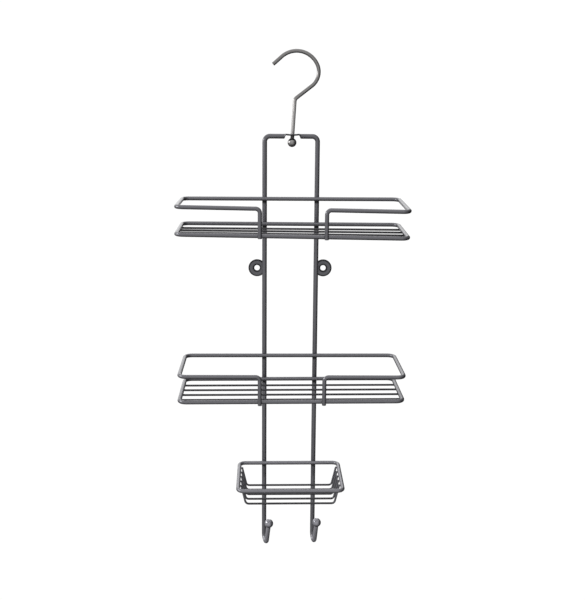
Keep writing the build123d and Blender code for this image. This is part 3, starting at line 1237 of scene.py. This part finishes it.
class CADDY_OT_soap_dish(bpy.types.Operator):
    """Bend the soap dish's rim and its hanging wires"""

    bl_idname = "caddy.soap_dish"
    bl_label = "Soap dish"

    def execute(self, context):
        size = sizes()
        rim = rim_run("soap_dish_rim")
        loop = [(x, y, rim.z) for x, y in corners(rim)]
        bends = [size.dish_corner] * len(loop)
        basket_wire("dish_rim", "soap_dish_rim", loop, bends, closed=True)
        radius = size.floor_wire / 2
        nodes = numbered("soap_dish_wire")
        low, _, first = middle(nodes[0])
        pitch = first.y - middle(nodes[1])[2].y
        end_x = rim.half - rim.radius - radius + size.weld_sink
        end_z, floor_z, floor_x = rim.z + size.dish_stand, low.z + radius, size.dish_floor / 2
        points = [
            (-end_x, first.y, end_z),
            (-floor_x, first.y, floor_z),
            (floor_x, first.y, floor_z),
            (end_x, first.y, end_z),
        ]
        bends = [0.0, size.dish_bend, size.dish_bend, 0.0]
        piece = path_object("dish_wires", points, bends)
        thin_wires(
            piece, repeated_wire_tree, nodes, count=len(nodes), pitch=(0.0, -pitch, 0.0)
        )
        return {"FINISHED"}


THICK_NUGGET = Vector((1.75, 1.75, 0.75)) * MM
THIN_NUGGET = Vector((1.05, 1.05, 0.5)) * MM
RING_WELD = 2.6 * MM  # how far a ring's two welds lie over and under its middle


class CADDY_OT_welds(bpy.types.Operator):
    """Set a weld nugget wherever two wires cross"""

    bl_idname = "caddy.welds"
    bl_label = "Weld nuggets"

    def execute(self, context):
        size = sizes()
        lines = frame_lines()
        rim = rim_run("soap_dish_rim")
        ahead, up, across = Vector((0, 1, 0)), Vector((0, 0, 1)), Vector((1, 0, 0))
        spots = []
        front_of_frame = lines.y - lines.radius + size.weld_sink / 2
        shelves = [shelf(level) for level in LEVELS]
        for side, name in SIDES:
            x = side * lines.half
            runs = [lifted(run, run.rim, x, run.rear, run.z).z for run in shelves]
            runs += [lifted(run, run.rail, x, run.rear, run.rail_z).z for run in shelves]
            for z in runs + [rim.z]:
                spots.append((Vector((x, front_of_frame, z)), ahead, THICK_NUGGET))
            ring_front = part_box(f"{name}_mounting_ring")[0].y
            for z in (-RING_WELD, RING_WELD):
                spots.append((Vector((x, ring_front, z)), ahead, THICK_NUGGET))
        for level, run in zip(LEVELS, shelves):
            for side, _ in SIDES:
                x = size.post_shift + side * size.post_spacing / 2
                spot = lifted(run, run.rim, x, run.front, run.z) - ahead * run.radius
                spots.append((spot, ahead, THICK_NUGGET))
                for node in numbered(f"{level}_shelf_wire"):
                    y = middle(node)[2].y
                    spot = lifted(run, run.rim, side * run.half, y, run.z) - up * run.radius
                    spots.append((spot, up, THIN_NUGGET))
        for side, _ in SIDES:
            for node in numbered("soap_dish_wire"):
                spot = Vector((side * (rim.half - rim.radius), middle(node)[2].y, rim.z))
                spots.append((spot, across, THIN_NUGGET))
        mesh = bpy.data.meshes.new("weld_nuggets")
        mesh.from_pydata([spot for spot, _, _ in spots], [], [])
        for attribute, column in (("weld_normal", 1), ("weld_spread", 2)):
            values = [c for spot in spots for c in spot[column]]
            data = mesh.attributes.new(attribute, "FLOAT_VECTOR", "POINT").data
            data.foreach_set("vector", values)
        piece = new_object("weld_nuggets", mesh)
        run_tree(piece, nugget_tree, material=material(grey_basket_coat))
        place_piece(piece, RACK, [])
        return {"FINISHED"}


# ---------------------------------------------------------------- stage

WHITE = 1.03  # strength at which the floor and sky come out white
FLOOR_HALF = 30.0
KEY_OFFSET = Vector((-1.1, -0.12, 0.44))
KEY_EXTENT = 0.42
SENSOR_WIDTH = 36.0
SKY_LEFT, SKY_RIGHT, SKY_BELOW, SKY_ABOVE = 0.70, 0.02, 0.05, 1.15
SKY_BEHIND, SKY_FRONT = 1.5, 0.85


def stage_floor(z):
    """A wide pale floor that lights nothing itself."""
    half = FLOOR_HALF
    mesh = bpy.data.meshes.new("floor")
    square = [(-half, -half, z), (half, -half, z), (half, half, z), (-half, half, z)]
    mesh.from_pydata(square, [], [(0, 1, 2, 3)])
    pale = bpy.data.materials.new("pale floor")
    pale.use_nodes = True
    pale.node_tree.nodes.clear()
    net = Net(pale.node_tree)
    glow = net.add("ShaderNodeEmission", {}, {"Color": (1, 1, 1, 1), "Strength": WHITE})
    net.add("ShaderNodeOutputMaterial", {}, {"Surface": glow})
    mesh.materials.append(pale)
    floor = new_object("floor", mesh)
    floor.visible_diffuse = False
    floor.visible_glossy = False
    floor.visible_shadow = False


def stage_world():
    """Light from all round, bright above and behind, dim to the right and below."""
    world = bpy.data.worlds.new("soft room")
    bpy.context.scene.world = world
    world.use_nodes = True
    world.node_tree.nodes.clear()
    net = Net(world.node_tree)
    direction = net.add("ShaderNodeTexCoord").out("Generated")
    axes = net.add("ShaderNodeSeparateXYZ", {}, {0: direction})

    def both_ways(axis, minus, plus):
        """Light from the two ends of an axis, weighed by its squared direction."""
        low = axis.at_most(0.0)
        high = axis.at_least(0.0)
        return low * low * minus + high * high * plus

    behind = axes.out("Y").at_least(0.0)
    behind = behind * behind * SKY_BEHIND
    behind = behind * net.ramp(axes.out("Z"), -0.25, 0.05) * (1 - net.ramp(axes, 0.05, 0.40))
    front = axes.out("Y").at_most(0.0)
    room = both_ways(axes, SKY_LEFT, SKY_RIGHT) + both_ways(axes.out("Z"), SKY_BELOW, SKY_ABOVE)
    room = room + behind + front * front * SKY_FRONT
    seen = net.add("ShaderNodeLightPath").out("Is Camera Ray")
    strength = room * (1 - seen) + seen * WHITE
    sky = net.add("ShaderNodeBackground", {}, {"Color": (1, 1, 1, 1), "Strength": strength})
    net.add("ShaderNodeOutputWorld", {}, {"Surface": sky})


def stage_light(name, place, target, power, extent):
    """A square soft light aimed at a point."""
    lamp = bpy.data.lights.new(name, "AREA")
    lamp.energy = power
    lamp.size = extent
    holder = new_object(name, lamp)
    holder.location = place
    holder.rotation_euler = (target - place).to_track_quat("-Z", "Y").to_euler()


def stage_camera(settings):
    """A camera from its place, yaw, pitch and roll."""
    camera = bpy.data.cameras.new("camera")
    camera.lens = settings.lens
    camera.sensor_width = SENSOR_WIDTH
    yaw, pitch, roll = settings.camera_yaw, settings.camera_pitch, settings.camera_roll
    ahead = Vector((sin(yaw) * cos(pitch), cos(yaw) * cos(pitch), sin(pitch)))
    level = Vector((cos(yaw), -sin(yaw), 0))
    upright = level.cross(ahead)
    right = level * cos(roll) + upright * sin(roll)
    top = upright * cos(roll) - level * sin(roll)
    turned = Matrix((right, top, -ahead)).transposed().to_4x4()
    holder = new_object("camera", camera)
    holder.matrix_world = Matrix.Translation(settings.camera_place) @ turned
    bpy.context.scene.camera = holder


class CADDY_OT_stage(bpy.types.Operator):
    """Set up the floor, the light and the camera"""

    bl_idname = "caddy.stage"
    bl_label = "Stage"

    def execute(self, context):
        settings = context.scene.caddy_stage
        low, high = (Vector(corner) for corner in cad_box)
        centre = (low + high) / 2
        context.scene.view_settings.view_transform = "Standard"
        stage_floor(low.z - settings.floor_drop)
        stage_world()
        stage_light("key", centre + KEY_OFFSET, centre, settings.key_power, KEY_EXTENT)
        stage_camera(settings)
        return {"FINISHED"}


# ---------------------------------------------------------------- add-on

PIECES = (
    CADDY_OT_stage,
    CADDY_OT_main_frame,
    CADDY_OT_swivel_hook,
    CADDY_OT_lower_balls,
    CADDY_OT_mounting_rings,
    CADDY_OT_shelf_rims,
    CADDY_OT_shelf_rails,
    CADDY_OT_floor_wires,
    CADDY_OT_soap_dish,
    CADDY_OT_welds,
)


class CADDY_PT_panel(bpy.types.Panel):
    bl_label = "Shower caddy"
    bl_idname = "CADDY_PT_panel"
    bl_space_type = "VIEW_3D"
    bl_region_type = "UI"
    bl_category = "Caddy"

    def draw(self, context):
        column = self.layout.column()
        for piece in PIECES:
            column.operator(piece.bl_idname)
        for _, name in GROUPS:
            settings = getattr(context.scene, name)
            box = self.layout.box()
            for key in settings.__annotations__:
                box.prop(settings, key)


GROUPS = (
    (CaddySizes, "caddy_sizes"),
    (CaddyFinish, "caddy_finish"),
    (CaddyStage, "caddy_stage"),
)


def register():
    for group, name in GROUPS:
        bpy.utils.register_class(group)
        setattr(bpy.types.Scene, name, PointerProperty(type=group))
    for item in (*PIECES, CADDY_PT_panel):
        bpy.utils.register_class(item)


def unregister():
    for item in (CADDY_PT_panel, *PIECES[::-1]):
        bpy.utils.unregister_class(item)
    for group, name in GROUPS[::-1]:
        delattr(bpy.types.Scene, name)
        bpy.utils.unregister_class(group)


def main():
    register()
    for piece in PIECES:
        group, name = piece.bl_idname.split(".")
        getattr(getattr(bpy.ops, group), name)()


if __name__ == "__main__":
    main()
